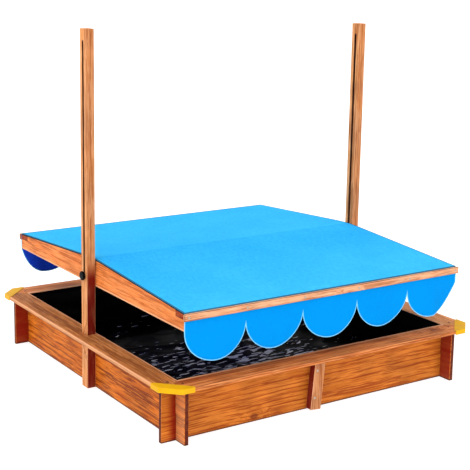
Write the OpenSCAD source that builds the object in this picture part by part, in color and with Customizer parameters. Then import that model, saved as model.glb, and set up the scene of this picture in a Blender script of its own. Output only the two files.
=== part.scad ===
// Square children's sandbox with a bench rim and a height-adjustable, tilting cloth roof.
// Frame: +Z up, X across the two posts, Y from front (-Y) to back (+Y),
// origin at the centre of the box on the ground. All lengths in millimetres.

/* [Box] */
// Outer width of the bench rim, both ways
bench_outer = 1200; // [1100:10:1400]
// Width of the bench boards
bench_w = 80; // [70:1:110]
// Thickness of the bench boards
bench_t = 12; // [10:1:20]
// Length of the chamfer across each outer bench corner, along one side
bench_chamfer = 50; // [40:1:55]
// Height of the wall planks
wall_h = 170; // [130:1:200]
// Thickness of the wall planks
plank_t = 14; // [12:1:20]
// How far the bench laps over the top edge of the walls
rim_lap = 8; // [4:1:12]
// How far the planks run on past the wall that they cross
plank_tail = 49; // [40:1:52]
// Wall thickness of the plastic corner caps
cap_t = 2; // [1.5:0.5:4]
// Reach of the caps in over the bench, square to the chamfer
cap_reach = 35; // [25:1:45]
// Reach of the caps in under the bench, square to the chamfer
cap_lip = 25; // [15:1:25]
// Reach of the caps along each side of the bench, from its corner
cap_side = 92; // [80:1:110]
// Thickness of the liner sheet
liner_t = 1.5; // [1:0.5:3]

/* [Battens] */
// Width of the battens over the joint of the half planks
batten_w = 39; // [30:1:45]
// Depth of the battens
batten_d = 26; // [16:1:30]
// Sideways place of the front joint and its batten
front_joint_x = -27; // [-60:1:60]
// Lean of the front batten, in degrees
front_batten_lean = 5; // [0:0.5:5]

/* [Posts] */
// Height of the posts above the ground
post_h = 1162; // [1152:5:1302]
// Width of the posts along the wall
post_w = 40; // [36:1:60]
// Depth of the posts away from the wall
post_d = 29; // [22:1:32]
// Width of the long slot in each post
slot_w = 9; // [8.6:0.1:10]
// Height of the clamp bolts with the roof at its lowest
bolt_z = 376; // [367:1:382]
// How far the roof can be raised
roof_travel = 740; // [400:10:750]

/* [Roof] */
// Half the length of the roof side boards
roof_half_y = 566; // [540:1:575]
// Thickness of the roof side boards
side_t = 18; // [15:1:22]
// Gap between a roof side board and its post
side_gap = 3; // [2.4:0.1:5]
// Depth of a side board from the bolt down to its lower edge
side_below_bolt = 36; // [30:1:45]
// Height of a side board at its two ends
side_end_h = 54; // [48:1:60]
// Height of a side board at the ridge
side_peak_h = 91; // [80:1:110]
// Width of the front and back rails
rail_w = 50; // [40:1:60]
// Thickness of the rails
rail_t = 20; // [15:1:22]
// Width of the ridge rail
ridge_w = 46; // [40:1:50]
// Thickness of the roof cloth
cloth_t = 1.5; // [1:0.5:2]
// Height of the clamp strips
strip_h = 21; // [18:1:30]
// Thickness of the clamp strips
strip_t = 8; // [5:1:10]
// How far the clamp strips stand out past each side board
strip_over = 5; // [0:1:8]

/* [Valance] */
// Number of scallops along each valance
scallops = 5; // [3:1:9]
// Drop from the roof's edge to the notches between the scallops
notch_drop = 53; // [40:1:70]
// Depth of the scallops below the notches
scallop_depth = 100; // [50:1:110]

/* [Clamp bolts and knobs] */
// Radius of the clamp bolts
bolt_r = 4; // [3:0.5:4]
// Radial running clearance of the roof and the knobs on the bolts
run_gap = 0.05; // [0.02:0.01:0.1]
// Radius of the knob's grip
knob_r = 15; // [12:1:20]
// Length of the knob's grip
knob_grip = 7; // [6:1:16]
// Number of flutes round the knob
knob_flutes = 8; // [5:1:12]

/* [Hidden] */
$fn = 48;

// Colours of the materials
wood = "#c4682e";
wood_light = "#d08a4e";
cloth_blue = "#28b4ff";
valance_blue = "#0a96f5";
cap_yellow = "#f2c81e";
black = "#141416";
steel = "#b8bcc0";

// Box
bench_half = bench_outer / 2;
bench_in = bench_half - bench_w;
bench_top = wall_h + bench_t;
wall_out = bench_in + rim_lap;
wall_in = wall_out - plank_t;
plank_end = wall_out + plank_tail;
notch_gap = 0.2;
notch_w = plank_t + 2 * notch_gap;
liner_gap = 1;
liner_half = wall_in - liner_gap;
liner_h = wall_h - liner_gap;

// Lines across a bench corner, each given by its value of |x| + |y|
chamfer_line = 2 * bench_half - bench_chamfer;
cap_line = chamfer_line - cap_reach * sqrt(2);
cap_lip_line = chamfer_line - cap_lip * sqrt(2);
cap_out_line = chamfer_line + cap_t * sqrt(2);

// Battens
batten_foot = 2;
batten_h = wall_h - 2 * batten_foot;
batten_mid_z = batten_foot + batten_h / 2;
batten_screw_z = 44;
batten_screw_in = 9;

// Posts
post_out = wall_out + post_d;
post_gap = 0.3;
post_screw_y = 13;

// Roof
side_out = wall_out - side_gap;
side_in = side_out - side_t;
side_low = bolt_z - side_below_bolt;
end_top = side_low + side_end_h;
peak_top = side_low + side_peak_h;
rail_in_y = roof_half_y - rail_w;
rail_low = end_top - rail_t;
ridge_top = roof_top(ridge_w / 2);
ridge_low = ridge_top - rail_t;
cloth_half_y = roof_half_y + cloth_t;
strip_low = end_top - 1 - strip_h;
strip_out = cloth_half_y + strip_t;
strip_half_x = side_out + strip_over;
scallop_r = side_out / scallops;
valance_top = roof_top(cloth_half_y);
notch_z = valance_top - notch_drop;

// Bolts, washers and knobs, as distances from the middle of the box
face_gap = 0.3;
head_washer_t = 1.6;
head_t = 5.5;
head_r = 7.5;
washer_t = 1.2;
knob_in = post_out + 2 * face_gap + washer_t;
knob_hub = 2;
knob_hub_r = knob_r - 3;
knob_edge = 2;
knob_end_wall = 3;
knob_out = knob_in + knob_hub + knob_grip;
bolt_end = knob_out - knob_end_wall;
flute_r = 4;
flute_mid_r = knob_r + flute_r / 2;

// Wood screws
screw_r = 2;
screw_head_r = 3.8;
screw_proud = 0.6;
screw_rim = 0.5;
screw_head_h = 2.6;
screw_point = 4;
recess_l = 4;
recess_w = 0.8;
recess_d = 1;
screw_short = 4;
bench_screw_l = 45;
strip_screw_l = 28;
rail_screw_l = 40;
board_mid_x = side_out - side_t / 2;

// Height of the roof's upper line at a distance y from the ridge
function roof_top(y) = peak_top - (peak_top - end_top) * abs(y) / roof_half_y;

// ---------------------------------------------------------------- repeated shapes

// One half plank of the front wall, notched half through where the side wall crosses it
module half_plank(x0, x1, notch_from_top) {
    side = x0 + x1 < 0 ? -1 : 1;
    difference() {
        translate([x0, -wall_out, 0])
            cube([x1 - x0, plank_t, wall_h]);
        translate([
            side * (wall_out - plank_t / 2) - notch_w / 2,
            -wall_out - 1,
            notch_from_top ? wall_h / 2 : -1
        ])
            cube([notch_w, plank_t + 2, wall_h / 2 + 1]);
    }
}

// A bench board of the front side, mitred to its neighbours and chamfered at its ends
module bench_board() {
    translate([0, 0, wall_h])
        linear_extrude(bench_t)
            polygon([
                [-bench_in, -bench_in],
                [-chamfer_line / 2, -chamfer_line / 2],
                [-(chamfer_line - bench_half), -bench_half],
                [chamfer_line - bench_half, -bench_half],
                [chamfer_line / 2, -chamfer_line / 2],
                [bench_in, -bench_in]
            ]);
}

// A side bench board has a hole that the post stands in
module side_bench_board() {
    difference() {
        bench_board();
        translate([-post_w / 2 - post_gap, -post_out - post_gap, wall_h - 1])
            cube([post_w + 2 * post_gap, post_d + post_gap, bench_t + 2]);
    }
}

// The front left corner of a square, between two lines across it
module corner_prism(in_line, out_line, half, z, h) {
    translate([0, 0, z])
        linear_extrude(h)
            polygon([
                [-half, half - in_line],
                [-half, half - out_line],
                [half - out_line, -half],
                [half - in_line, -half]
            ]);
}

// Plastic cap that clips over the chamfered corner at front left, its two ends cut square
module corner_cap() {
    color(cap_yellow)
        difference() {
            intersection() {
                corner_prism(
                    cap_line,
                    cap_out_line,
                    bench_half + cap_t,
                    wall_h - cap_t,
                    bench_t + 2 * cap_t
                );
                translate([-bench_outer, -bench_outer, 0])
                    cube([bench_half + cap_side, bench_half + cap_side, 2 * wall_h]);
            }
            corner_prism(bench_half, chamfer_line, bench_half, wall_h, bench_t);
            corner_prism(bench_half, cap_lip_line, bench_half, wall_h - 2 * cap_t, 3 * cap_t);
        }
}

// Slotted post on the right side
module post() {
    color(wood_light)
        difference() {
            translate([wall_out, -post_w / 2, 0])
                cube([post_d, post_w, post_h]);
            translate([wall_out - 1, -slot_w / 2, bolt_z - post_gap])
                cube([post_d + 2, slot_w, roof_travel + 2 * post_gap]);
            for (z = [bolt_z - post_gap, bolt_z + roof_travel + post_gap])
                translate([wall_out - 1, 0, z])
                    rotate([0, 90, 0])
                        cylinder(h = post_d + 2, r = slot_w / 2);
        }
}

// Wood screw with its head at the origin and its point down
module screw(length, proud = screw_proud) {
    difference() {
        rotate_extrude()
            polygon([
                [0, proud],
                [screw_head_r, proud],
                [screw_head_r, proud - screw_rim],
                [screw_r, proud - screw_head_h],
                [screw_r, screw_point - length],
                [0, -length]
            ]);
        for (turn = [0, 90])
            rotate([0, 0, turn])
                translate([-recess_l / 2, -recess_w / 2, proud - recess_d])
                    cube([recess_l, recess_w, 2 * recess_d]);
    }
}

// Batten standing on the front wall, with its foot just clear of the ground
module batten(lean) {
    color(wood)
        translate([0, -wall_out - batten_d / 2, batten_mid_z])
            rotate([0, lean, 0])
                cube([batten_w, batten_d, batten_h], center = true);
}

// Screws of one batten: two from outside, two from inside the wall
module one_batten_screws(lean) {
    translate([0, 0, batten_mid_z])
        rotate([0, lean, 0])
            for (z = [-batten_screw_z, batten_screw_z]) {
                translate([-batten_screw_in, -wall_out - batten_d, z])
                    rotate([90, 0, 0])
                        screw(batten_d + plank_t - screw_short);
                translate([batten_screw_in, -wall_in, z])
                    rotate([-90, 0, 0])
                        screw(batten_d + plank_t - screw_short, 0);
            }
}

// Gable-shaped side board on the right, notched for the three rails
module roof_side() {
    outline = [
        [-roof_half_y, side_low],
        [roof_half_y, side_low],
        [roof_half_y, rail_low],
        [rail_in_y, rail_low],
        [rail_in_y, roof_top(rail_in_y)],
        [ridge_w / 2, ridge_top],
        [ridge_w / 2, ridge_low],
        [-ridge_w / 2, ridge_low],
        [-ridge_w / 2, ridge_top],
        [-rail_in_y, roof_top(rail_in_y)],
        [-rail_in_y, rail_low],
        [-roof_half_y, rail_low]
    ];
    color(wood)
        difference() {
            translate([side_in, 0, 0])
                rotate([90, 0, 90])
                    linear_extrude(side_t)
                        polygon(outline);
            translate([side_in - 1, 0, bolt_z])
                rotate([0, 90, 0])
                    cylinder(h = side_t + 2, r = bolt_r + run_gap);
        }
}

// Front rail, let into the ends of the side boards
module roof_rail() {
    color(wood)
        translate([-side_out, -roof_half_y, rail_low])
            cube([2 * side_out, rail_w, rail_t]);
}

// Strip that clamps the front edge of the cloth to its rail
module clamp_strip() {
    color(wood_light)
        translate([-strip_half_x, -strip_out, strip_low])
            cube([2 * strip_half_x, strip_t, strip_h]);
}

// Scalloped valance hanging from the front edge
module valance() {
    edge = [
        for (k = [0 : scallops - 1], a = [0 : 15 : 165])
            [
                side_out - scallop_r * (2 * k + 1) + scallop_r * cos(a),
                notch_z - scallop_depth * sin(a)
            ]
    ];
    color(valance_blue)
        translate([0, -roof_half_y, 0])
            rotate([90, 0, 0])
                linear_extrude(cloth_t)
                    polygon(concat(
                        [[-side_out, valance_top], [side_out, valance_top]],
                        edge,
                        [[-side_out, notch_z]]
                    ));
}

// Washer on the clamp bolt of the right side, its inner face at x
module bolt_washer(x, thick, r) {
    color(steel)
        translate([x, 0, bolt_z])
            rotate([0, 90, 0])
                difference() {
                    cylinder(h = thick, r = r);
                    translate([0, 0, -1])
                        cylinder(h = thick + 2, r = bolt_r + 0.2);
                }
}

// Clamp bolt of the right side, its head inside the roof
module clamp_bolt() {
    head_in = side_in - face_gap - head_washer_t - head_t;
    color(steel)
        translate([head_in, 0, bolt_z])
            rotate([0, 90, 0]) {
                cylinder(h = head_t, r = head_r, $fn = 6);
                cylinder(h = bolt_end - head_in, r = bolt_r);
            }
}

// Fluted clamp knob on the outside of the right post
module clamp_knob() {
    color(black)
        translate([knob_in, 0, bolt_z])
            rotate([0, 90, 0])
                difference() {
                    rotate_extrude()
                        polygon([
                            [bolt_r + run_gap, 0],
                            [knob_hub_r, 0],
                            [knob_hub_r, knob_hub],
                            [knob_r - knob_edge, knob_hub],
                            [knob_r, knob_hub + knob_edge],
                            [knob_r, knob_hub + knob_grip - knob_edge],
                            [knob_r - knob_edge, knob_hub + knob_grip],
                            [0, knob_hub + knob_grip],
                            [0, bolt_end - knob_in + 1],
                            [bolt_r + run_gap, bolt_end - knob_in + 1]
                        ]);
                    for (k = [0 : knob_flutes - 1])
                        rotate([0, 0, 360 * k / knob_flutes])
                            translate([flute_mid_r, 0, knob_hub - 1])
                                cylinder(h = knob_grip + 2, r = flute_r);
                }
}

// The same shape on both sides of the middle
module both_sides() {
    children();
    mirror([1, 0, 0])
        children();
}

// The same shape at the front and at the back
module front_and_back() {
    children();
    rotate([0, 0, 180])
        children();
}

// ---------------------------------------------------------------- walls

module front_plank_left() { color(wood) half_plank(-plank_end, front_joint_x, true); }
module front_plank_right() { color(wood) half_plank(front_joint_x, plank_end, true); }
module back_plank_left() { color(wood) rotate([0, 0, 180]) half_plank(0, plank_end, true); }
module back_plank_right() { color(wood) rotate([0, 0, 180]) half_plank(-plank_end, 0, true); }
module left_plank_front() { color(wood) rotate([0, 0, -90]) half_plank(0, plank_end, false); }
module left_plank_back() { color(wood) rotate([0, 0, -90]) half_plank(-plank_end, 0, false); }
module right_plank_front() { color(wood) rotate([0, 0, 90]) half_plank(-plank_end, 0, false); }
module right_plank_back() { color(wood) rotate([0, 0, 90]) half_plank(0, plank_end, false); }

module front_batten() { translate([front_joint_x, 0, 0]) batten(front_batten_lean); }
module back_batten() { rotate([0, 0, 180]) batten(0); }

module left_post() { rotate([0, 0, 180]) post(); }
module right_post() { post(); }

// ---------------------------------------------------------------- bench and caps

module front_bench() { color(wood) bench_board(); }
module back_bench() { color(wood) rotate([0, 0, 180]) bench_board(); }
module left_bench() { color(wood) rotate([0, 0, -90]) side_bench_board(); }
module right_bench() { color(wood) rotate([0, 0, 90]) side_bench_board(); }

module corner_cap_front_left() { corner_cap(); }
module corner_cap_front_right() { rotate([0, 0, 90]) corner_cap(); }
module corner_cap_back_left() { rotate([0, 0, -90]) corner_cap(); }
module corner_cap_back_right() { rotate([0, 0, 180]) corner_cap(); }

// Open tray of sheet that keeps the sand in
module liner() {
    color(black)
        difference() {
            translate([-liner_half, -liner_half, 0])
                cube([2 * liner_half, 2 * liner_half, liner_h]);
            translate([liner_t - liner_half, liner_t - liner_half, liner_t])
                cube([2 * (liner_half - liner_t), 2 * (liner_half - liner_t), liner_h]);
        }
}

// ---------------------------------------------------------------- screws of the box

module batten_screws() {
    color(steel) {
        translate([front_joint_x, 0, 0])
            one_batten_screws(front_batten_lean);
        rotate([0, 0, 180])
            one_batten_screws(0);
    }
}

// From inside the side walls into the posts
module post_screws() {
    color(steel)
        both_sides()
            for (y = [-post_screw_y, post_screw_y], z = [wall_h / 4, wall_h * 3 / 4])
                translate([wall_in, y, z])
                    rotate([0, -90, 0])
                        screw(plank_t + post_d - screw_short, 0);
}

// Down through the bench into the plank tails and the battens
module bench_screws() {
    tail_mid = wall_out - plank_t / 2;
    out_mid = wall_out + plank_tail / 2;
    color(steel) {
        for (turn = [0, 90, 180, 270], x = [-tail_mid, tail_mid])
            rotate([0, 0, turn])
                translate([x, -out_mid, bench_top])
                    screw(bench_screw_l);
        translate([front_joint_x, -wall_out - batten_d / 2, bench_top])
            screw(bench_screw_l);
        translate([0, wall_out + batten_d / 2, bench_top])
            screw(bench_screw_l);
    }
}

// ---------------------------------------------------------------- roof

module roof_side_left() { rotate([0, 0, 180]) roof_side(); }
module roof_side_right() { roof_side(); }
module roof_rail_front() { roof_rail(); }
module roof_rail_back() { rotate([0, 0, 180]) roof_rail(); }

// Rail under the crease of the cloth
module roof_ridge() {
    color(wood)
        translate([-side_out, -ridge_w / 2, ridge_low])
            cube([2 * side_out, ridge_w, rail_t]);
}

module clamp_strip_front() { clamp_strip(); }
module clamp_strip_back() { rotate([0, 0, 180]) clamp_strip(); }

// Cloth stretched over the side boards and the three rails
module roof_cloth() {
    low = roof_top(cloth_half_y);
    color(cloth_blue)
        translate([-side_out, 0, 0])
            rotate([90, 0, 90])
                linear_extrude(2 * side_out)
                    polygon([
                        [-cloth_half_y, low],
                        [0, peak_top],
                        [cloth_half_y, low],
                        [cloth_half_y, low + cloth_t],
                        [0, peak_top + cloth_t],
                        [-cloth_half_y, low + cloth_t]
                    ]);
}

module valance_front() { valance(); }
module valance_back() { rotate([0, 0, 180]) valance(); }

// Through the strips and the cloth into the rails, one above each notch and one at each end
module strip_screws() {
    color(steel)
        front_and_back()
            for (k = [0 : scallops])
                translate([
                    max(-board_mid_x, min(board_mid_x, (2 * k - scallops) * scallop_r)),
                    -strip_out,
                    strip_low + strip_h / 2
                ])
                    rotate([90, 0, 0])
                        screw(strip_screw_l);
}

// Down through the rails into the side boards
module rail_screws() {
    rail_mid_y = roof_half_y - rail_w / 2;
    color(steel)
        both_sides() {
            for (y = [-rail_mid_y, rail_mid_y])
                translate([board_mid_x, y, end_top])
                    screw(rail_screw_l, 0);
            translate([board_mid_x, 0, ridge_top])
                screw(rail_screw_l, 0);
        }
}

// ---------------------------------------------------------------- clamp bolts and knobs

module bolt_left() { rotate([0, 0, 180]) clamp_bolt(); }
module bolt_right() { clamp_bolt(); }

module bolt_head_washers() {
    both_sides()
        bolt_washer(side_in - face_gap - head_washer_t, head_washer_t, 12);
}

module spacer_washers() {
    both_sides()
        bolt_washer(side_out + face_gap, side_gap - 2 * face_gap, 15);
}

module knob_washers() {
    both_sides()
        bolt_washer(post_out + face_gap, washer_t, knob_hub_r - 1);
}

module knob_left() { rotate([0, 0, 180]) clamp_knob(); }
module knob_right() { clamp_knob(); }

// ---------------------------------------------------------------- nodes

front_plank_left();
front_plank_right();
back_plank_left();
back_plank_right();
left_plank_front();
left_plank_back();
right_plank_front();
right_plank_back();
front_batten();
back_batten();
left_post();
right_post();
front_bench();
back_bench();
left_bench();
right_bench();
corner_cap_front_left();
corner_cap_front_right();
corner_cap_back_left();
corner_cap_back_right();
liner();
batten_screws();
post_screws();
bench_screws();
roof_side_left();
roof_side_right();
roof_rail_front();
roof_rail_back();
roof_ridge();
clamp_strip_front();
clamp_strip_back();
roof_cloth();
valance_front();
valance_back();
strip_screws();
rail_screws();
bolt_left();
bolt_right();
bolt_head_washers();
spacer_washers();
knob_washers();
knob_left();
knob_right();
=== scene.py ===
"""Looks of a square sandbox with a bench rim and a cloth roof on two slotted posts. All in metres."""

import math

import bpy
import numpy as np
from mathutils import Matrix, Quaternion, Vector, noise


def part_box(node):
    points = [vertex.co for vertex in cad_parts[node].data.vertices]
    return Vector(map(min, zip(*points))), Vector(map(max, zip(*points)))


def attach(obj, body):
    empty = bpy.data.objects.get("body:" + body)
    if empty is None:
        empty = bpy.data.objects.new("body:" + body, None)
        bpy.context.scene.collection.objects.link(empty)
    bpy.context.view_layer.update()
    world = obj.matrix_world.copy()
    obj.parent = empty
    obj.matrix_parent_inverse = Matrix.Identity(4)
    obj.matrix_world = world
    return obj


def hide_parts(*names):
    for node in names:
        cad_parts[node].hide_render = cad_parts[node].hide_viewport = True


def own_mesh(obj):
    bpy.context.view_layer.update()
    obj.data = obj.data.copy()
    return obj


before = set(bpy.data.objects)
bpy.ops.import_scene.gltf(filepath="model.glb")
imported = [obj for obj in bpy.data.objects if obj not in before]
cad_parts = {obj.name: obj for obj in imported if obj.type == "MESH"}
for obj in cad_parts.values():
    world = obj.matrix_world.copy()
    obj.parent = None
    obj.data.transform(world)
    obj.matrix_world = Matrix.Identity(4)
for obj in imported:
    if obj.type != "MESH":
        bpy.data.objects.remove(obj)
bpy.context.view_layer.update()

# ---------------------------------------------------------------- places, all from the frame

FRONT, BACK = -1, 1
X, Y, Z = range(3)
WALL_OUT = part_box("right_post")[0].x
WALL_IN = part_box("liner")[1].x
LINER_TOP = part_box("liner")[1].z
BENCH_LOW, BENCH_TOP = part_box("right_bench")[0].z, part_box("right_bench")[1].z
BENCH_IN, BENCH_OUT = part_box("right_bench")[0].x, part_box("right_bench")[1].x
BENCH_MIDDLE, BENCH_HALF_WIDTH = (BENCH_IN + BENCH_OUT) / 2, (BENCH_OUT - BENCH_IN) / 2
SIDE_IN, SIDE_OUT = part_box("roof_side_right")[0].x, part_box("roof_side_right")[1].x
SIDE_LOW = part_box("roof_side_right")[0].z
ROOF_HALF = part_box("roof_side_right")[1].y
RAIL_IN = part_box("roof_rail_back")[0].y
END_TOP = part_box("roof_rail_back")[1].z
RIDGE_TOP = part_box("roof_ridge")[1].z
RIDGE_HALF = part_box("roof_ridge")[1].y
ROOF_SLOPE = (RIDGE_TOP - END_TOP) / (ROOF_HALF - RIDGE_HALF)
STRIP_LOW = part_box("clamp_strip_front")[0].z
VALANCE_LOW, VALANCE_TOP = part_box("valance_front")[0].z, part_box("valance_front")[1].z
BOLT_Z = (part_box("knob_left")[0].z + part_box("knob_left")[1].z) / 2
SLOT_HALF = 0.0045
WOOD_OVER_SLOT = 0.0415
SLOT_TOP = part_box("right_post")[1].z - WOOD_OVER_SLOT
BATTEN_LEAN = math.radians(5)

# ---------------------------------------------------------------- camera, floor and light

CAMERA_AZIMUTH = math.radians(-33.88)
CAMERA_ELEVATION = math.radians(11.1)
CAMERA_ROLL = math.radians(1.04)
CAMERA_DISTANCE = 4.03
CAMERA_AIM = Vector((0.019, 0, 0.601))
LENS_MM, SENSOR_MM = 89.8, 36
SHIFT_UP = -0.0957


def direction(azimuth, elevation):
    """Unit vector from the object towards a place seen at that azimuth and elevation."""
    level = math.cos(elevation)
    return Vector((math.sin(azimuth) * level, -math.cos(azimuth) * level, math.sin(elevation)))


def make_camera():
    """The camera that sees the object as the photograph does."""
    data = bpy.data.cameras.new("camera")
    data.lens = LENS_MM
    data.sensor_width = SENSOR_MM
    data.shift_y = SHIFT_UP
    camera = bpy.data.objects.new("camera", data)
    towards = direction(CAMERA_AZIMUTH, CAMERA_ELEVATION)
    camera.location = CAMERA_AIM + towards * CAMERA_DISTANCE
    camera.rotation_mode = "QUATERNION"
    level = (-towards).to_track_quat("-Z", "Y")
    camera.rotation_quaternion = level @ Quaternion((0, 0, 1), CAMERA_ROLL)
    bpy.context.collection.objects.link(camera)
    bpy.context.scene.camera = camera


def make_sun(name, azimuth, elevation, strength, spread):
    """A soft directional light; all angles in degrees."""
    data = bpy.data.lights.new(name, "SUN")
    data.energy = strength
    data.angle = math.radians(spread)
    light = bpy.data.objects.new(name, data)
    towards = direction(math.radians(azimuth), math.radians(elevation))
    light.rotation_mode = "QUATERNION"
    light.rotation_quaternion = (-towards).to_track_quat("-Z", "Y")
    bpy.context.collection.objects.link(light)


def make_world(strength):
    """Even pale light from all round, with a white backdrop behind the object."""
    world = bpy.data.worlds.new("studio")
    world.use_nodes = True
    tree = world.node_tree
    around = tree.nodes["Background"]
    around.inputs["Color"].default_value = (0.97, 0.98, 1, 1)
    around.inputs["Strength"].default_value = strength
    backdrop = tree.nodes.new("ShaderNodeBackground")
    backdrop.inputs["Color"].default_value = (1, 1, 1, 1)
    path = tree.nodes.new("ShaderNodeLightPath")
    mix = tree.nodes.new("ShaderNodeMixShader")
    tree.links.new(path.outputs["Is Camera Ray"], mix.inputs[0])
    tree.links.new(around.outputs[0], mix.inputs[1])
    tree.links.new(backdrop.outputs[0], mix.inputs[2])
    tree.links.new(mix.outputs[0], tree.nodes["World Output"].inputs["Surface"])
    bpy.context.scene.world = world


# ---------------------------------------------------------------- meshes

def make_piece(name, points, faces, smooth=True):
    """A mesh object of these points and faces, added to the scene."""
    mesh = bpy.data.meshes.new(name)
    mesh.from_pydata([tuple(p) for p in points], [], [tuple(f) for f in faces])
    mesh.update()
    mesh.polygons.foreach_set("use_smooth", [smooth] * len(mesh.polygons))
    piece = bpy.data.objects.new(name, mesh)
    bpy.context.collection.objects.link(piece)
    return piece


def grid_faces(rows, columns, round_and_round=False):
    """Quads over a grid of points kept row by row."""
    last = columns if round_and_round else columns - 1
    return [
        (r * columns + c, r * columns + (c + 1) % columns,
         (r + 1) * columns + (c + 1) % columns, (r + 1) * columns + c)
        for r in range(rows - 1)
        for c in range(last)
    ]


def give_thickness(piece, thickness, offset, inside=0, rim=0):
    """Makes a sheet of points into cloth or film; inside and rim are steps down its material slots."""
    solid = piece.modifiers.new("Solidify", "SOLIDIFY")
    solid.thickness = thickness
    solid.offset = offset
    solid.material_offset = inside
    solid.material_offset_rim = rim


def make_floor():
    """A wide pale floor just under the object, which glows a little so that its far parts stay white."""
    half, sunk = 40, 0.001
    corners = [(-half, -half, 0), (half, -half, 0), (half, half, 0), (-half, half, 0)]
    floor = make_piece("floor", corners, [(0, 1, 2, 3)])
    floor.location.z = -sunk
    look = Look("pale_floor", Roughness=0.95)
    look.set("Base Color", (0.5, 0.52, 0.53, 1))
    look.set("Specular IOR Level", 0.1)
    look.set("Emission Color", (0.97, 0.99, 1, 1))
    look.set("Emission Strength", 0.75)
    dress(floor, look)


# ---------------------------------------------------------------- material tools

def colour(code):
    """Linear colour of an sRGB hex code."""
    values = [int(code[i : i + 2], 16) / 255 for i in (0, 2, 4)]
    return tuple(v / 12.92 if v <= 0.04045 else ((v + 0.055) / 1.055) ** 2.4 for v in values) + (1,)


class Look:
    """A material under construction, with short calls that add nodes to it."""

    def __init__(self, name, **uniform):
        self.material = bpy.data.materials.new(name)
        self.material.use_nodes = True
        self.tree = self.material.node_tree
        self.shader = self.tree.nodes["Principled BSDF"]
        for socket, value in uniform.items():
            self.set(socket, value)

    def set(self, socket, value):
        """One value of the shader, the same all over."""
        self.shader.inputs[socket].default_value = value

    def link(self, socket, value):
        """One value of the shader, from a node."""
        self.tree.links.new(value, self.shader.inputs[socket])

    def node(self, kind, inputs, **settings):
        """A node with its settings and inputs; an input is a plain value or another node's output."""
        made = self.tree.nodes.new(kind)
        for name, value in settings.items():
            setattr(made, name, value)
        for key, value in inputs.items():
            if isinstance(value, bpy.types.NodeSocket):
                self.tree.links.new(value, made.inputs[key])
            else:
                made.inputs[key].default_value = value
        return made

    def place(self):
        """Where a point is, in the frame at rest."""
        return self.node("ShaderNodeTexCoord", {}).outputs["Object"]

    def facing(self):
        """Which way the surface faces there."""
        return self.node("ShaderNodeTexCoord", {}).outputs["Normal"]

    def parts(self, vector):
        return self.node("ShaderNodeSeparateXYZ", {0: vector}).outputs

    def vector(self, x, y, z):
        return self.node("ShaderNodeCombineXYZ", {0: x, 1: y, 2: z}).outputs[0]

    def move(self, operation, vector, other):
        inputs = {0: vector, 1: other}
        return self.node("ShaderNodeVectorMath", inputs, operation=operation).outputs[0]

    def maths(self, operation, *values):
        inputs = dict(enumerate(values))
        return self.node("ShaderNodeMath", inputs, operation=operation).outputs[0]

    def step(self, value, low, high, start=0.0, end=1.0):
        """Smooth change from start at low to end at high."""
        inputs = {"Value": value, "From Min": low, "From Max": high, "To Min": start, "To Max": end}
        return self.node("ShaderNodeMapRange", inputs, interpolation_type="SMOOTHSTEP").outputs[0]

    def noise(self, vector, scale, detail=2.0, roughness=0.5):
        inputs = {"Vector": vector, "Scale": scale, "Detail": detail, "Roughness": roughness}
        return self.node("ShaderNodeTexNoise", inputs).outputs[0]

    def mix(self, share, first, second, blend="MIX"):
        inputs = {0: share, 6: first, 7: second}
        return self.node("ShaderNodeMix", inputs, data_type="RGBA", blend_type=blend).outputs[2]

    def bump(self, height, distance, strength=1.0):
        inputs = {"Strength": strength, "Distance": distance, "Height": height}
        self.link("Normal", self.node("ShaderNodeBump", inputs).outputs[0])


def dress(piece, *looks):
    """Gives a piece these materials, and every face the first of them."""
    piece.data.materials.clear()
    for look in looks:
        piece.data.materials.append(look.material)


# ---------------------------------------------------------------- wood

ORANGE = dict(light=colour("d67e2e"), middle=colour("bb661c"), dark=colour("8a3406"))
STREAKED = dict(light=colour("e48228"), middle=colour("bf5e12"), dark=colour("6c2000"))
PALE = dict(light=colour("ee9352"), middle=colour("dd7a38"), dark=colour("a84c14"))
BROWN = dict(light=colour("d08a50"), middle=colour("b46c34"), dark=colour("7c3e14"))
REDDISH = dict(light=colour("e49456"), middle=colour("d0763a"), dark=colour("964616"))
TAN = dict(light=colour("ecaa76"), middle=colour("d88e52"), dark=colour("a45c2a"))
STRIP_TAN = dict(light=colour("eab48c"), middle=colour("d8946a"), dark=colour("ae6a42"))
PLAIN_TAN = dict(light=colour("d1956d"), middle=colour("bf7c49"), dark=colour("965026"))
# painted highlight: the pale peach that rounded edges, bench rims and lit plank tails take
PEACH_HIGHLIGHT = colour("f2b486")
# painted shade on plank tails and on the inner half of the front and back benches; also the darker end
# faces of roof rails and roof side boards
RED_SHADE_AND_DARK_ENDS = colour("801004")
# painted shade on the narrow faces of posts and battens
DEEP_RED_SHADE = colour("6c0602")
# the end faces of planks are made darker with this
DARK_END_TONE = colour("4c0c04")
# painted shade: along the foot of the walls, on the walls of the post slots, and on the rounded edges of
# clamp strips and roof rails
DARK_SHADE = colour("36120a")
KNOT_BROWN = colour("6a2a0c")

TURN_GRAIN_TO_X = {"X": (0, 0, 0), "Y": (0, 0, -math.pi / 2), "Z": (0, math.pi / 2, 0)}
RING_SPACING = 0.013
WAVE_SPACING = 0.314  # the wave texture's ring spacing at a scale of 1
WANDER = 0.009  # how far the grain strays sideways


def knots_in(look, along, wide):
    """The dark cores of the knots that run through a board, and how far the grain bends round them."""
    inputs = {"Vector": look.vector(look.maths("MULTIPLY", along, 0.55), wide, 0.0), "Scale": 6.0}
    cells = look.node("ShaderNodeTexVoronoi", inputs, voronoi_dimensions="2D")
    some = look.step(look.parts(cells.outputs["Color"])[0], 0.76, 0.8)
    core = look.maths("MULTIPLY", look.step(cells.outputs["Distance"], 0.06, 0.035), some)
    swirl = look.maths("MULTIPLY", look.step(cells.outputs["Distance"], 0.26, 0.0), some)
    return core, swirl


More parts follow.
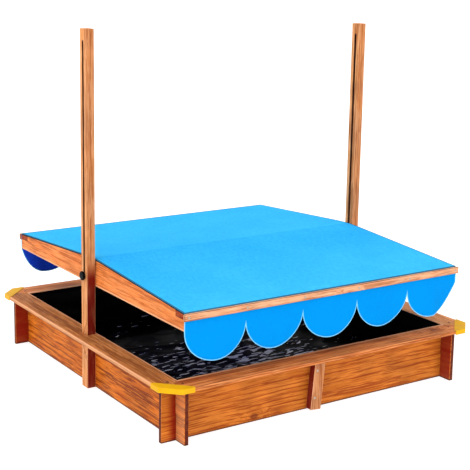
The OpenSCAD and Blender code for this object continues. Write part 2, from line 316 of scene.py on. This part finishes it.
def rings_in(look, along, wide, thin, pith):
    """Growth rings about a pith that lies outside the board, drawn out along the grain."""
    grown = look.vector(
        look.maths("MULTIPLY", along, 0.11),
        look.maths("ADD", wide, pith[0]),
        look.maths("ADD", thin, pith[1]),
    )
    inputs = {
        "Vector": grown, "Scale": WAVE_SPACING / RING_SPACING, "Distortion": 3.0,
        "Detail": 3.0, "Detail Scale": 1.3, "Detail Roughness": 0.6,
    }
    settings = dict(wave_type="RINGS", rings_direction="X", wave_profile="SAW")
    return look.node("ShaderNodeTexWave", inputs, **settings).outputs["Fac"]


def wood(name, node, grain, tones, seed, marks=(), lean=0.0):
    """Glazed softwood: growth rings, knots, dark and light streaks, fibres.

    marks are (mask, tone) pairs laid over it in turn.
    """
    low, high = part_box(node)
    size = high - low
    across, through = {"X": (size.y, size.z), "Y": (size.x, size.z), "Z": (size.y, size.x)}[grain]
    draw = np.random.default_rng(seed)
    pith = draw.uniform(-0.35, 0.35) * max(across, through), draw.uniform(0.03, 0.06)

    look = Look(name)
    local = look.move("SUBTRACT", look.place(), (low + high) / 2)
    turn = Vector(TURN_GRAIN_TO_X[grain]) + Vector((0, lean, 0))
    inputs = {"Vector": local, "Rotation": turn}
    board = look.node("ShaderNodeVectorRotate", inputs, rotation_type="EULER_XYZ").outputs[0]
    along, first, second = look.parts(board)
    along = look.maths("ADD", along, seed * 3.7)
    wide, thin = (second, first) if through > across else (first, second)

    # The grain wanders, and bends round the knots
    slow = look.noise(look.vector(look.maths("MULTIPLY", along, 0.5), wide, thin), 12.0)
    wide = look.maths("MULTIPLY_ADD", look.maths("SUBTRACT", slow, 0.5), WANDER, wide)
    knot, swirl = knots_in(look, along, wide)
    thin = look.maths("MULTIPLY_ADD", swirl, 0.014, thin)
    wide = look.maths("MULTIPLY_ADD", swirl, 0.006, wide)
    rings = rings_in(look, along, wide, thin, pith)

    def streaks(stretch, scale, detail, offset):
        spot = look.vector(look.maths("MULTIPLY_ADD", along, 1 / stretch, offset), wide, thin)
        return look.noise(spot, scale, detail, 0.6)

    dark_lines = look.step(streaks(30, 250.0, 2.5, 0.0), 0.52, 0.59)
    light_lines = look.step(streaks(24, 230.0, 2.5, 5.0), 0.54, 0.62)
    broad = streaks(5, 45.0, 2.0, 9.0)
    fibres = streaks(26, 520.0, 3.0, 2.0)
    clouds = look.noise(look.move("ADD", board, (seed, 0, 0)), 9.0)

    tone = look.mix(look.step(broad, 0.4, 0.6, 0.0, 0.5), tones["middle"], tones["light"])
    late_wood = look.maths("PINGPONG", look.maths("ADD", rings, 0.1), 1.0)
    tone = look.mix(look.step(late_wood, 0.72, 0.96, 0.0, 0.7), tone, tones["dark"])
    tone = look.mix(look.maths("MULTIPLY", dark_lines, 0.7), tone, tones["dark"])
    tone = look.mix(look.maths("MULTIPLY", light_lines, 0.7), tone, tones["light"])
    tone = look.mix(look.step(fibres, 0.5, 0.75, 0.0, 0.4), tone, tones["dark"])
    cloudy = look.step(clouds, 0.3, 0.7, 0.86, 1.1)
    tone = look.mix(1.0, tone, look.vector(cloudy, cloudy, cloudy), "MULTIPLY")
    tone = look.mix(look.maths("MULTIPLY", knot, 0.7), tone, KNOT_BROWN)
    uneven = look.step(broad, 0.3, 0.7, 1.0, 0.88)
    for mask, mark in marks:
        tone = look.mix(look.maths("MULTIPLY", mask(look), uneven), tone, mark)
    look.link("Base Color", tone)
    look.link("Roughness", look.step(fibres, 0.3, 0.7, 0.45, 0.62))
    look.set("Specular IOR Level", 0.1)
    height = look.maths("MULTIPLY_ADD", fibres, 0.6, look.maths("MULTIPLY", dark_lines, -0.4))
    look.bump(height, 0.0004, 0.6)
    return look


FADE = 0.004  # how far the edge of a mark is spread


def evenly(strength):
    """The same all over."""
    return lambda look: strength


def square_to(axis, strength):
    """The faces square to an axis."""
    def mask(look):
        turned = look.maths("ABSOLUTE", look.parts(look.facing())[axis])
        return look.step(turned, 0.5, 0.9, 0.0, strength)
    return mask


def below(height, strength):
    """Under that height."""
    return lambda look: look.step(look.parts(look.place())[Z], height, height + FADE, strength, 0.0)


def post_side_shade(strength_low, strength_high):
    """Painted shade on the two narrow faces of a post: dark under the roof, lighter above it."""
    shade_low, shade_high = BOLT_Z - 0.01, BOLT_Z + 0.045

    def mask(look):
        height = look.parts(look.place())[Z]
        shade = look.step(height, shade_low, shade_high, strength_low, strength_high)
        return look.maths("MULTIPLY", square_to(Y, 1.0)(look), shade)
    return mask


def in_slot(look):
    """The walls of the long slot in a post, for painted shade."""
    _, y, z = look.parts(look.place())
    across = look.step(look.maths("ABSOLUTE", y), SLOT_HALF + 0.0016, SLOT_HALF + 0.0004)
    middle, reach = (SLOT_TOP + BOLT_Z) / 2, (SLOT_TOP - BOLT_Z) / 2
    off_middle = look.maths("ABSOLUTE", look.maths("SUBTRACT", z, middle))
    return look.maths("MULTIPLY", across, look.step(off_middle, reach + 0.006, reach + 0.004))


def plank_tail_shade(along, inward, outer):
    """Painted shade on a plank's tails: on their inner faces, and on their outer faces near the crossing
    plank. inward is the way to the box's middle, 1 or -1.
    """
    shade_length = 0.036

    def mask(look):
        reach = look.maths("ABSOLUTE", look.parts(look.place())[along])
        turned = look.parts(look.facing())
        inner_face = look.step(look.maths("MULTIPLY", turned[1 - along], inward), 0.3, 0.7)
        outer_face = look.step(look.maths("MULTIPLY", turned[1 - along], -inward), 0.3, 0.7)
        tail = look.step(reach, WALL_OUT - FADE, WALL_OUT)
        inner = look.maths("MULTIPLY", inner_face, look.maths("MULTIPLY", tail, 0.95))
        near_crossing = look.step(reach, WALL_OUT + shade_length, WALL_OUT + FADE, 0.0, outer)
        past = look.maths("MULTIPLY", near_crossing, tail)
        return look.maths("MAXIMUM", inner, look.maths("MULTIPLY", outer_face, past))
    return mask


def past_walls(along, strength):
    """The tails of a plank, past the wall that crosses it."""
    def mask(look):
        reach = look.maths("ABSOLUTE", look.parts(look.place())[along])
        return look.step(reach, WALL_OUT - FADE, WALL_OUT, 0.0, strength)
    return mask


def inner_half_shade(across, strength):
    """Painted shade on the inner half of a bench board, under the roof's edge."""
    def mask(look):
        reach = look.maths("ABSOLUTE", look.parts(look.place())[across])
        return look.step(reach, BENCH_MIDDLE + 0.014, BENCH_MIDDLE - 0.01, 0.0, strength)
    return mask


def bench_rim_highlights(across, inner, outer):
    """Painted highlight on the long edges of a bench board, and not on its mitres."""
    rim_start, rim_full = BENCH_HALF_WIDTH - 0.006, BENCH_HALF_WIDTH - 0.004

    def mask(look):
        reach = look.maths("ABSOLUTE", look.parts(look.place())[across])
        off_middle = look.maths("SUBTRACT", reach, BENCH_MIDDLE)
        rims = [
            look.step(look.maths("MULTIPLY", off_middle, way), rim_start, rim_full, 0.0, strength)
            for way, strength in ((-1, inner), (1, outer))
        ]
        upper = look.step(look.parts(look.place())[Z], BENCH_LOW + FADE, BENCH_LOW + 2 * FADE)
        return look.maths("MULTIPLY", look.maths("MAXIMUM", *rims), upper)
    return mask


def near_rim(across, rim, wide, strength):
    """The top of a bench board next to one of its long edges, for a painted highlight."""
    def mask(look):
        reach = look.maths("ABSOLUTE", look.parts(look.place())[across])
        away = look.maths("ABSOLUTE", look.maths("SUBTRACT", reach, rim))
        return look.step(away, wide, wide * 0.7, 0.0, strength)
    return mask


def round_edges(piece, width, segments=2):
    """Rounds the sharp edges of a board or moulding. The rounded faces take the second material."""
    weld = piece.modifiers.new("Weld", "WELD")
    weld.merge_threshold = 2e-5
    flat = piece.modifiers.new("Join flat faces", "DECIMATE")
    flat.decimate_type = "DISSOLVE"
    flat.angle_limit = math.radians(0.5)
    bevel = piece.modifiers.new("Bevel", "BEVEL")
    bevel.width = width
    bevel.segments = segments
    bevel.limit_method = "ANGLE"
    bevel.angle_limit = math.radians(35)
    bevel.material = 1


# node: grain, tones, marks on the faces, marks on the rounded edges, rounding
BOARDS = {}
# painted shadow along the foot of the walls; the plank edges take a faint painted highlight and the same
# shadow at the foot
PLANK_FOOT_SHADE = (below(0.003, 0.8), DARK_SHADE)
PLANK_EDGES = [(evenly(0.06), PEACH_HIGHLIGHT), (below(0.004, 0.7), DARK_SHADE)]
for plank in ("front_plank_left", "front_plank_right", "back_plank_left", "back_plank_right"):
    inward = 1 if plank.startswith("front") else -1
    # painted shade on the tails, darker end faces, painted shadow along the foot
    faces = [(plank_tail_shade(X, inward, 0.95), RED_SHADE_AND_DARK_ENDS), (square_to(X, 1.0), DARK_END_TONE), PLANK_FOOT_SHADE]
    BOARDS[plank] = ("X", ORANGE, faces, PLANK_EDGES, 0.0014)
for plank in ("left_plank_front", "left_plank_back", "right_plank_front", "right_plank_back"):
    inward = 1 if plank.startswith("left") else -1
    # painted highlight on the tails, painted shade on their inner faces, darker end faces, painted
    # shadow along the foot
    faces = [
        (past_walls(Y, 0.25), PEACH_HIGHLIGHT), (plank_tail_shade(Y, inward, 0.05), RED_SHADE_AND_DARK_ENDS),
        (square_to(Y, 1.0), DARK_END_TONE), PLANK_FOOT_SHADE,
    ]
    BOARDS[plank] = ("Y", STREAKED, faces, PLANK_EDGES, 0.0014)
for side in ("front", "back"):
    # painted shade on the inner half and, faintly, on the long side faces; painted highlight along the
    # inner edge and the rounded rims
    faces = [
        (inner_half_shade(Y, 0.12), RED_SHADE_AND_DARK_ENDS), (near_rim(Y, BENCH_IN, 0.012, 0.7), PEACH_HIGHLIGHT),
        (square_to(Y, 0.15), ORANGE["dark"]),
    ]
    BOARDS[side + "_bench"] = ("X", REDDISH, faces, [(bench_rim_highlights(Y, 0.75, 0.1), PEACH_HIGHLIGHT)], 0.0024)
    # painted shade on the batten's narrow side faces; painted highlight on its rounded edges
    faces = [(square_to(X, 1.0), DEEP_RED_SHADE)]
    BOARDS[side + "_batten"] = ("Z", PLAIN_TAN, faces, [(evenly(0.6), PEACH_HIGHLIGHT)], 0.0016)
    # painted shade on the rounded edges of clamp strips and roof rails; darker end faces on the rails
    BOARDS["clamp_strip_" + side] = ("X", STRIP_TAN, [], [(evenly(0.8), DARK_SHADE)], 0.0012)
    faces = [(square_to(X, 0.7), RED_SHADE_AND_DARK_ENDS)]
    BOARDS["roof_rail_" + side] = ("X", ORANGE, faces, [(evenly(1.0), DARK_SHADE)], 0.0024)
# the right bench's lighter TAN tones are painted light, brightening it where the roof shades it; both
# benches take painted highlight along their long edges and rims
for side, tones in (("left", BROWN), ("right", TAN)):
    faces = [(near_rim(X, BENCH_IN, 0.007, 0.7), PEACH_HIGHLIGHT), (near_rim(X, BENCH_OUT, 0.006, 0.35), PEACH_HIGHLIGHT)]
    BOARDS[side + "_bench"] = ("Y", tones, faces, [(bench_rim_highlights(X, 0.75, 0.75), PEACH_HIGHLIGHT)], 0.0024)
    # painted shade on the narrow faces under the roof and in the slot; painted highlight on the rounded
    # edges
    faces = [(post_side_shade(1.0, 0.3), DEEP_RED_SHADE), (in_slot, DARK_SHADE)]
    edges = [(evenly(0.4), PEACH_HIGHLIGHT), (in_slot, DARK_SHADE)]
    BOARDS[side + "_post"] = ("Z", TAN, faces, edges, 0.0014)
    # darker end faces, and a painted highlight along the lower edge
    faces = [(square_to(Y, 0.8), RED_SHADE_AND_DARK_ENDS), (below(SIDE_LOW + 0.003, 0.7), PEACH_HIGHLIGHT)]
    edges = [(below(SIDE_LOW + 0.004, 1.0), PEACH_HIGHLIGHT)]
    BOARDS["roof_side_" + side] = ("Y", PALE, faces, edges, 0.0022)
BOARDS["roof_ridge"] = ("X", ORANGE, [], [], 0.001)


def dress_boards():
    """Wood on every board of the frame, each cut from its own part of the tree."""
    for seed, (node, (grain, tones, faces, edges, rounding)) in enumerate(BOARDS.items(), start=3):
        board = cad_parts[node]
        lean = BATTEN_LEAN if node == "front_batten" else 0.0
        face = wood(node + "_wood", node, grain, tones, seed, faces, lean)
        edge = wood(node + "_arris", node, grain, tones, seed, edges, lean)
        dress(board, face, edge)
        board.data.polygons.foreach_set("use_smooth", [False] * len(board.data.polygons))
        round_edges(board, rounding)


# ---------------------------------------------------------------- plastic and metal

def moulded(name, tone, roughness, grain_scale, glint_paint_and_gloss, spread=0.06):
    """Moulded plastic with a fine skin and a slightly uneven colour."""
    look = Look(name)
    place = look.place()
    patches = look.noise(place, 35.0, 3.0, 0.55)
    scale = look.step(patches, 0.3, 0.7, 1 - spread, 1 + spread)
    look.link("Base Color", look.mix(1.0, tone, look.vector(scale, scale, scale), "MULTIPLY"))
    look.link("Roughness", look.step(patches, 0.3, 0.7, roughness - 0.06, roughness + 0.08))
    look.set("Specular IOR Level", glint_paint_and_gloss)
    look.bump(look.noise(place, grain_scale, 2.0, 0.5), 0.00015, 0.5)
    return look


def plated(name, tone, bright):
    """Zinc-plated steel, brushed and slightly clouded."""
    look = Look(name, Metallic=1.0)
    place = look.place()
    clouds = look.noise(place, 240.0, 3.0, 0.6)
    look.link("Base Color", look.mix(clouds, colour(tone), colour(bright)))
    look.link("Roughness", look.step(clouds, 0.3, 0.7, 0.28, 0.46))
    look.bump(look.noise(place, 1500.0, 2.0, 0.5), 0.00005, 0.4)
    return look


def dress_fittings():
    """Plastic on the caps and knobs, and zinc on the screws, bolts and washers."""
    cap = moulded("cap_plastic", colour("dca404"), 0.45, 900.0, 0.12)
    for corner in ("front_left", "front_right", "back_left", "back_right"):
        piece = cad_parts["corner_cap_" + corner]
        dress(piece, cap, cap)
        round_edges(piece, 0.0012, 3)
    screw = plated("screw_zinc", "8a7048", "d9d6cd")
    for node in ("batten_screws", "post_screws", "strip_screws", "rail_screws"):
        dress(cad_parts[node], screw)
    dress(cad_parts["bench_screws"], plated("bench_screw_zinc", "4a3420", "7c5c3c"))
    bolt = plated("bolt_zinc", "9a9c9e", "d9d6cd")
    for node in ("bolt_left", "bolt_right", "bolt_head_washers", "spacer_washers", "knob_washers"):
        dress(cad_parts[node], bolt)
    grip = moulded("knob_plastic", colour("020202"), 0.3, 700.0, 0.03, 0.2)
    for node in ("knob_left", "knob_right"):
        dress(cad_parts[node], grip)


# ---------------------------------------------------------------- cloth

FOLD_SHADE = colour("34443f")
CLOTH_THICK = 0.0007
HEM = 0.012
THREAD_PITCH = 0.0011
STITCH_PITCH = 0.006


def cloth(name, light, dark, hem=None):
    """Plain-woven polyester with a soft mottle. hem is how far from the middle a row of stitches runs,
    and also turns on painted light on the roof: a lighter back slope, a front slope darker near the
    ridge, and painted shade at the folded edges.
    """
    look = Look(name)
    place = look.place()
    x, y, z = look.parts(place)
    threads = [
        look.maths("SINE", look.maths("MULTIPLY", value, 2 * math.pi / THREAD_PITCH))
        for value in (x, look.maths("ADD", y, z))
    ]
    weave = look.maths("MULTIPLY", threads[0], threads[1])
    mottle = look.noise(look.vector(x, look.maths("MULTIPLY", y, 0.35), z), 150.0, 2.5, 0.6)
    faded = look.step(look.noise(place, 6.0), 0.3, 0.7, 0.0, 0.2)
    share = look.maths("ADD", look.step(mottle, 0.3, 0.7, 0.0, 0.4), faded)
    if hem:
        # painted light on the roof's slopes: the back slope lighter, the front slope darker towards the
        # ridge
        front, back = look.step(y, 0.0, -ROOF_HALF, 0.1, 0.45), look.step(y, -0.004, 0.004, 0.0, 0.4)
        share = look.maths("ADD", share, look.maths("MAXIMUM", front, back))
    else:
        share = look.maths("ADD", share, 0.2)
    tone = look.mix(share, dark, light)
    if hem:
        row = look.maths("SUBTRACT", look.maths("ABSOLUTE", x), hem)
        on_row = look.step(look.maths("ABSOLUTE", row), 0.0011, 0.0006)
        dash = look.maths("SINE", look.maths("MULTIPLY", y, 2 * math.pi / STITCH_PITCH))
        stitch = look.maths("MULTIPLY", on_row, look.step(dash, -0.3, 0.1))
        tone = look.mix(look.maths("MULTIPLY", stitch, 0.6), tone, dark)
        # painted shade along the folded side and end edges
        side_fold = look.step(look.maths("ABSOLUTE", x), SIDE_OUT - 0.0045, SIDE_OUT - 0.0035)
        off_middle = look.maths("ABSOLUTE", look.maths("ADD", y, 0.0025))
        end_fold = look.step(off_middle, ROOF_HALF - 0.0078, ROOF_HALF - 0.006)
        fold = look.maths("MAXIMUM", side_fold, end_fold)
        tone = look.mix(look.maths("MULTIPLY", fold, 0.75), tone, FOLD_SHADE)
        weave = look.maths("SUBTRACT", weave, look.maths("MULTIPLY", on_row, 2.0))
    look.link("Base Color", tone)
    look.link("Roughness", look.step(mottle, 0.3, 0.7, 0.8, 0.95))
    look.set("Specular IOR Level", 0.03)
    look.bump(weave, 0.00018, 0.5)
    return look


def ease(value):
    """From 0 to 1, slow at both ends."""
    value = np.clip(value, 0, 1)
    return value * value * (3 - 2 * value)


def early(value):
    """From 0 to 1, fast at first and slow at the end."""
    return 1 - (1 - np.clip(value, 0, 1)) ** 2


def roof_line(y):
    """Height of the taut cloth over the ridge rail, down to the front and back rails."""
    slope = END_TOP + (ROOF_HALF - np.abs(y)) * ROOF_SLOPE
    soft = 0.0015
    return RIDGE_TOP - soft * np.log1p(np.exp((RIDGE_TOP - slope) / soft)) + soft * 0.3


def make_roof_cloth(outer, shaded_inside, edge):
    """One sheet over the rails, sagging between them and turned down behind the clamp strips."""
    sag, ripple, taut_edge = 0.002, 0.0007, 0.16
    lip, lip_out = 0.0052, np.array([0.0006, 0.0008])
    inset, corner, lift = 0.0015, 0.0017, 0.0008
    top = np.linspace(-ROOF_HALF + inset, ROOF_HALF - inset, 129)
    bend = np.linspace(0, math.pi / 2, 5)[1:]
    down = np.linspace(END_TOP - 0.003, STRIP_LOW + 0.002, 4)
    end_y = np.concatenate([top[-1] + corner * np.sin(bend), np.full(len(down), top[-1] + corner)])
    end_z = np.concatenate([END_TOP + corner * (np.cos(bend) - 1) + lift, down])
    path_y = np.concatenate([-end_y[::-1], top, end_y])
    path_z = np.concatenate([end_z[::-1], roof_line(top) + lift, end_z])
    flat_x = np.linspace(-SIDE_OUT, SIDE_OUT, 111)
    across = np.concatenate([-SIDE_OUT - lip_out[::-1], flat_x, SIDE_OUT + lip_out])
    lips = np.zeros(len(across))
    lips[[0, 1, -2, -1]] = [lip, lip * 0.35, lip * 0.35, lip]
    points = []
    for y, z in zip(path_y, path_z):
        between = (abs(y) - RIDGE_HALF) / (RAIL_IN - RIDGE_HALF)
        hang = math.sin(math.pi * between) ** 1.3 if 0 < between < 1 else 0.0
        for x, drop in zip(across, lips):
            inside = ease((SIDE_IN - abs(x)) / taut_edge)
            wave = noise.noise(Vector((x * 3.1, y * 5.2, 4.7)))
            wave += 0.5 * noise.noise(Vector((x * 9, y * 7, 1.3)))
            fall = hang * inside * (sag * (0.8 + 0.2 * abs(y) / ROOF_HALF) + ripple * wave)
            points.append((x, y, z - fall - drop))
    piece = make_piece("roof_cloth_sheet", points, grid_faces(len(path_y), len(across)))
    dress(piece, outer, shaded_inside, edge)
    # the side lips take the dark edge cloth, painted shade under the turned-down edge
    columns = len(across) - 1
    on_lip = [2 if f % columns in (0, columns - 1) else 0 for f in range(len(piece.data.polygons))]
    piece.data.polygons.foreach_set("material_index", on_lip)
    give_thickness(piece, CLOTH_THICK, -1, inside=1)
    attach(piece, "roof")
    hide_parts("roof_cloth")


SCALLOPS = 5
SCALLOP_HALF = SIDE_OUT / SCALLOPS
SCALLOP_DEPTH = 0.1
NOTCH_Z = VALANCE_LOW + SCALLOP_DEPTH
CURL_WIDTH, CURL_DROP = 0.092, 0.07
CURL_IN, CURL_BACK = 0.015, 0.003
FLUTTER = 0.006


def valance_fold(x, z):
    """Moves of the hanging cloth, outwards and to the left; its last scallop on the right curls in."""
    fallen = ease((STRIP_LOW - z) / (STRIP_LOW - VALANCE_LOW))
    waves = 0.6 * math.sin(x * 15 + 0.9) + 0.4 * math.sin(x * 31 + 2.0)
    curl = early((x - (SIDE_OUT - CURL_WIDTH)) / CURL_WIDTH) * early((SIDE_LOW - z) / CURL_DROP)
    return FLUTTER * fallen * waves * (1 - curl) - CURL_IN * curl, CURL_BACK * curl


def scallop_edge(steps):
    """(x, z) down the left end, along every scallop, and up the right end."""
    edge = []
    for k in range(SCALLOPS):
        middle = SCALLOP_HALF * (2 * k + 1) - SIDE_OUT
        for a in np.linspace(math.pi, 0, steps)[(1 if k else 0):]:
            edge.append((middle + SCALLOP_HALF * math.cos(a), NOTCH_Z - SCALLOP_DEPTH * math.sin(a)))
    return edge


def make_valance(side, outer, shaded_inside, binding):
    """Scalloped cloth hanging from behind a clamp strip, with a bound edge."""
    name = {FRONT: "front", BACK: "back"}[side]
    plane = ROOF_HALF + 0.0012
    edge = scallop_edge(23)
    rows = 16
    top = VALANCE_TOP - 0.002

    def place(x, z):
        out, left = valance_fold(x, z)
        return (-side * (x - left), side * (plane + out), z)

    points = [place(x, top + (z - top) * r / (rows - 1)) for r in range(rows) for x, z in edge]
    sheet = make_piece(f"valance_{name}_sheet", points, grid_faces(rows, len(edge)))
    sheet.data.flip_normals()
    dress(sheet, outer, shaded_inside)
    give_thickness(sheet, CLOTH_THICK, 0, inside=1)

    ends = [[(s * SIDE_OUT, z) for z in np.linspace(STRIP_LOW, NOTCH_Z, 5)] for s in (-1, 1)]
    path = ends[0][:-1] + edge + ends[1][-2::-1]
    tube = make_binding(f"valance_{name}_binding", [Vector(place(x, z)) for x, z in path], binding)
    for piece in (sheet, tube):
        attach(piece, "roof")
        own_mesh(piece)
    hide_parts("valance_" + name)


def make_binding(name, path, look):
    """Folded tape round the edge of a valance: a flat oval swept along it."""
    wide, thick, sides = 0.0016, 0.0010, 8
    points = []
    for i, here in enumerate(path):
        ahead = (path[min(i + 1, len(path) - 1)] - path[max(i - 1, 0)]).normalized()
        out = Vector((0, 1, 0))
        down = ahead.cross(out).normalized()
        for k in range(sides):
            a = 2 * math.pi * k / sides
            points.append(here + down * wide * math.cos(a) + out * thick * math.sin(a))
    faces = grid_faces(len(path), sides, round_and_round=True)
    last = len(points) - sides
    faces += [tuple(range(sides))[::-1], tuple(range(last, last + sides))]
    piece = make_piece(name, points, faces)
    dress(piece, look)
    return piece


# ---------------------------------------------------------------- liner

def film():
    """Thin black plastic film, finely crinkled. Folds in the middle of the floor carry painted glints,
    and are glossier.
    """
    look = Look("liner_film")
    place = look.place()
    x, y, z = look.parts(place)
    crinkles = look.noise(place, 90.0, 3.0, 0.55)
    bent = look.maths("MULTIPLY_ADD", look.noise(place, 7.0), 0.06, y)
    folds = look.noise(look.vector(look.maths("MULTIPLY", x, 0.22), bent, z), 95.0, 1.0)
    broken = look.noise(place, 13.0, 2.0, 0.6)
    near_x = look.step(look.maths("ABSOLUTE", look.maths("SUBTRACT", x, 0.03)), 0.42, 0.2)
    near_y = look.step(look.maths("ABSOLUTE", look.maths("ADD", y, 0.03)), 0.3, 0.08)
    middle = look.maths("MULTIPLY", near_y, near_x)
    raised = look.maths("MULTIPLY_ADD", look.maths("ADD", middle, broken), 0.14, folds)
    on_floor = look.step(z, 0.03, 0.02)
    # painted glints: a pale colour on the fold crests in the middle of the floor, made glossier there
    # and tilted by the bump to catch reflections
    glint_paint_and_gloss = look.maths("MULTIPLY", look.step(raised, 0.785, 0.797), on_floor)
    tone = look.mix(crinkles, colour("010101"), colour("0a0707"))
    look.link("Base Color", look.mix(glint_paint_and_gloss, tone, colour("f0f4f4")))
    look.link("Roughness", look.step(glint_paint_and_gloss, 0.0, 1.0, 0.35, 0.22))
    look.link("Specular IOR Level", look.step(glint_paint_and_gloss, 0.0, 1.0, 0.05, 1.0))
    tilt = look.maths("MULTIPLY", look.maths("MULTIPLY", y, 0.11), on_floor)
    look.bump(look.maths("MULTIPLY_ADD", crinkles, 0.0006, tilt), 1.0)
    return look


def crumple(x, y, seed):
    """Height from 0 to 1 of a loosely laid film, with long folds."""
    bent_x = x + 0.05 * noise.noise(Vector((x * 4, y * 4, seed)))
    bent_y = y + 0.05 * noise.noise(Vector((x * 4, y * 4, seed + 10)))
    long_folds = 1 - abs(noise.noise(Vector((bent_x * 5, bent_y * 9, seed))))
    short_folds = 1 - abs(noise.noise(Vector((bent_x * 11, bent_y * 19, seed + 5))))
    return max(0.0, min(1.0, 0.6 * long_folds ** 2 + 0.4 * short_folds ** 2))


def bridge(first, second):
    """Quads between two closed rings of point numbers."""
    count = len(first)
    return [
        (first[j], first[(j + 1) % count], second[(j + 1) % count], second[j]) for j in range(count)
    ]


def make_liner(look):
    """Film laid on the ground inside the walls, up them, over their tops and up inside the bench."""
    half, gap, fold_height, slack = WALL_IN - 0.001, 0.0012, 0.011, 0.008
    cells, rings, rim_pitch = 150, 20, 0.0064
    line = np.linspace(-half, half, cells + 1)

    def off_walls(value):
        return ease((half - abs(value)) / 0.012)

    points = [
        (x, y, gap + fold_height * crumple(x, y, 2) * off_walls(x) * off_walls(y))
        for y in line for x in line
    ]
    n = cells + 1
    faces = grid_faces(n, n)
    rim = list(range(n)) + [i * n + cells for i in range(1, n)]
    rim += [cells * n + i for i in range(cells - 1, -1, -1)] + [i * n for i in range(cells - 1, 0, -1)]

    def add_ring(under, z, moves):
        """Points at height z over the floor's rim, each moved in from its wall, joined to a ring."""
        start = len(points)
        for i, move in zip(rim, moves):
            x, y, _ = points[i]
            points.append((
                x - math.copysign(1, x) * move * (abs(x) > half - 1e-6),
                y - math.copysign(1, y) * move * (abs(y) > half - 1e-6),
                z,
            ))
        ring = list(range(start, len(points)))
        faces.extend(bridge(under, ring))
        return ring

    ring = rim
    for r in range(1, rings + 1):
        z = gap + (LINER_TOP - gap - 0.001) * r / rings
        held = min(1, r / 3) * min(1, (rings - r) / 3)
        moves = [slack * crumple(j * rim_pitch, z, 9) * held for j in range(len(rim))]
        ring = add_ring(ring, z, moves)
    out = BENCH_IN - half - 0.0006
    over = ((0.0, BENCH_LOW + 0.0006), (out, BENCH_LOW + 0.0009), (out, BENCH_TOP - 0.0026))
    for step_out, z in over:
        ring = add_ring(ring, z, [-step_out] * len(rim))

    piece = make_piece("liner_sheet", points, faces)
    dress(piece, look)
    give_thickness(piece, 0.0004, -1)
    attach(piece, "sandbox")
    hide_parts("liner")


# ---------------------------------------------------------------- the scene

bpy.context.scene.view_settings.view_transform = "Standard"
make_camera()
make_world(0.6)
make_sun("key", azimuth=-68, elevation=50, strength=2.2, spread=90)
make_sun("fill", azimuth=15, elevation=18, strength=0.9, spread=40)
make_sun("back", azimuth=165, elevation=45, strength=0.6, spread=40)
make_floor()
dress_boards()
dress_fittings()
roof_blue = cloth("roof_cloth_weave", colour("3cb8f0"), colour("189ae6"), SIDE_OUT - HEM)
# the valance blue is painted shade: the roof's cloth, a deeper blue where it hangs in less light
shaded_valance_blue = cloth("valance_shaded_weave", colour("0090e4"), colour("0084d2"))
# the inside blue is painted shade: the cloth's underside, darker where light does not reach
shaded_inside_blue = cloth("shaded_inside_weave", colour("2456f0"), colour("123ed0"))
binding_blue = cloth("binding_weave", colour("8cd2f8"), colour("6ac0f0"))
# the dark edge cloth is painted shade where the roof's side edges turn down
edge_shade_blue = cloth("edge_shade_weave", colour("0a2a38"), colour("051a24"))
make_roof_cloth(roof_blue, shaded_inside_blue, edge_shade_blue)
for side in (FRONT, BACK):
    make_valance(side, shaded_valance_blue, shaded_inside_blue, binding_blue)
make_liner(film())
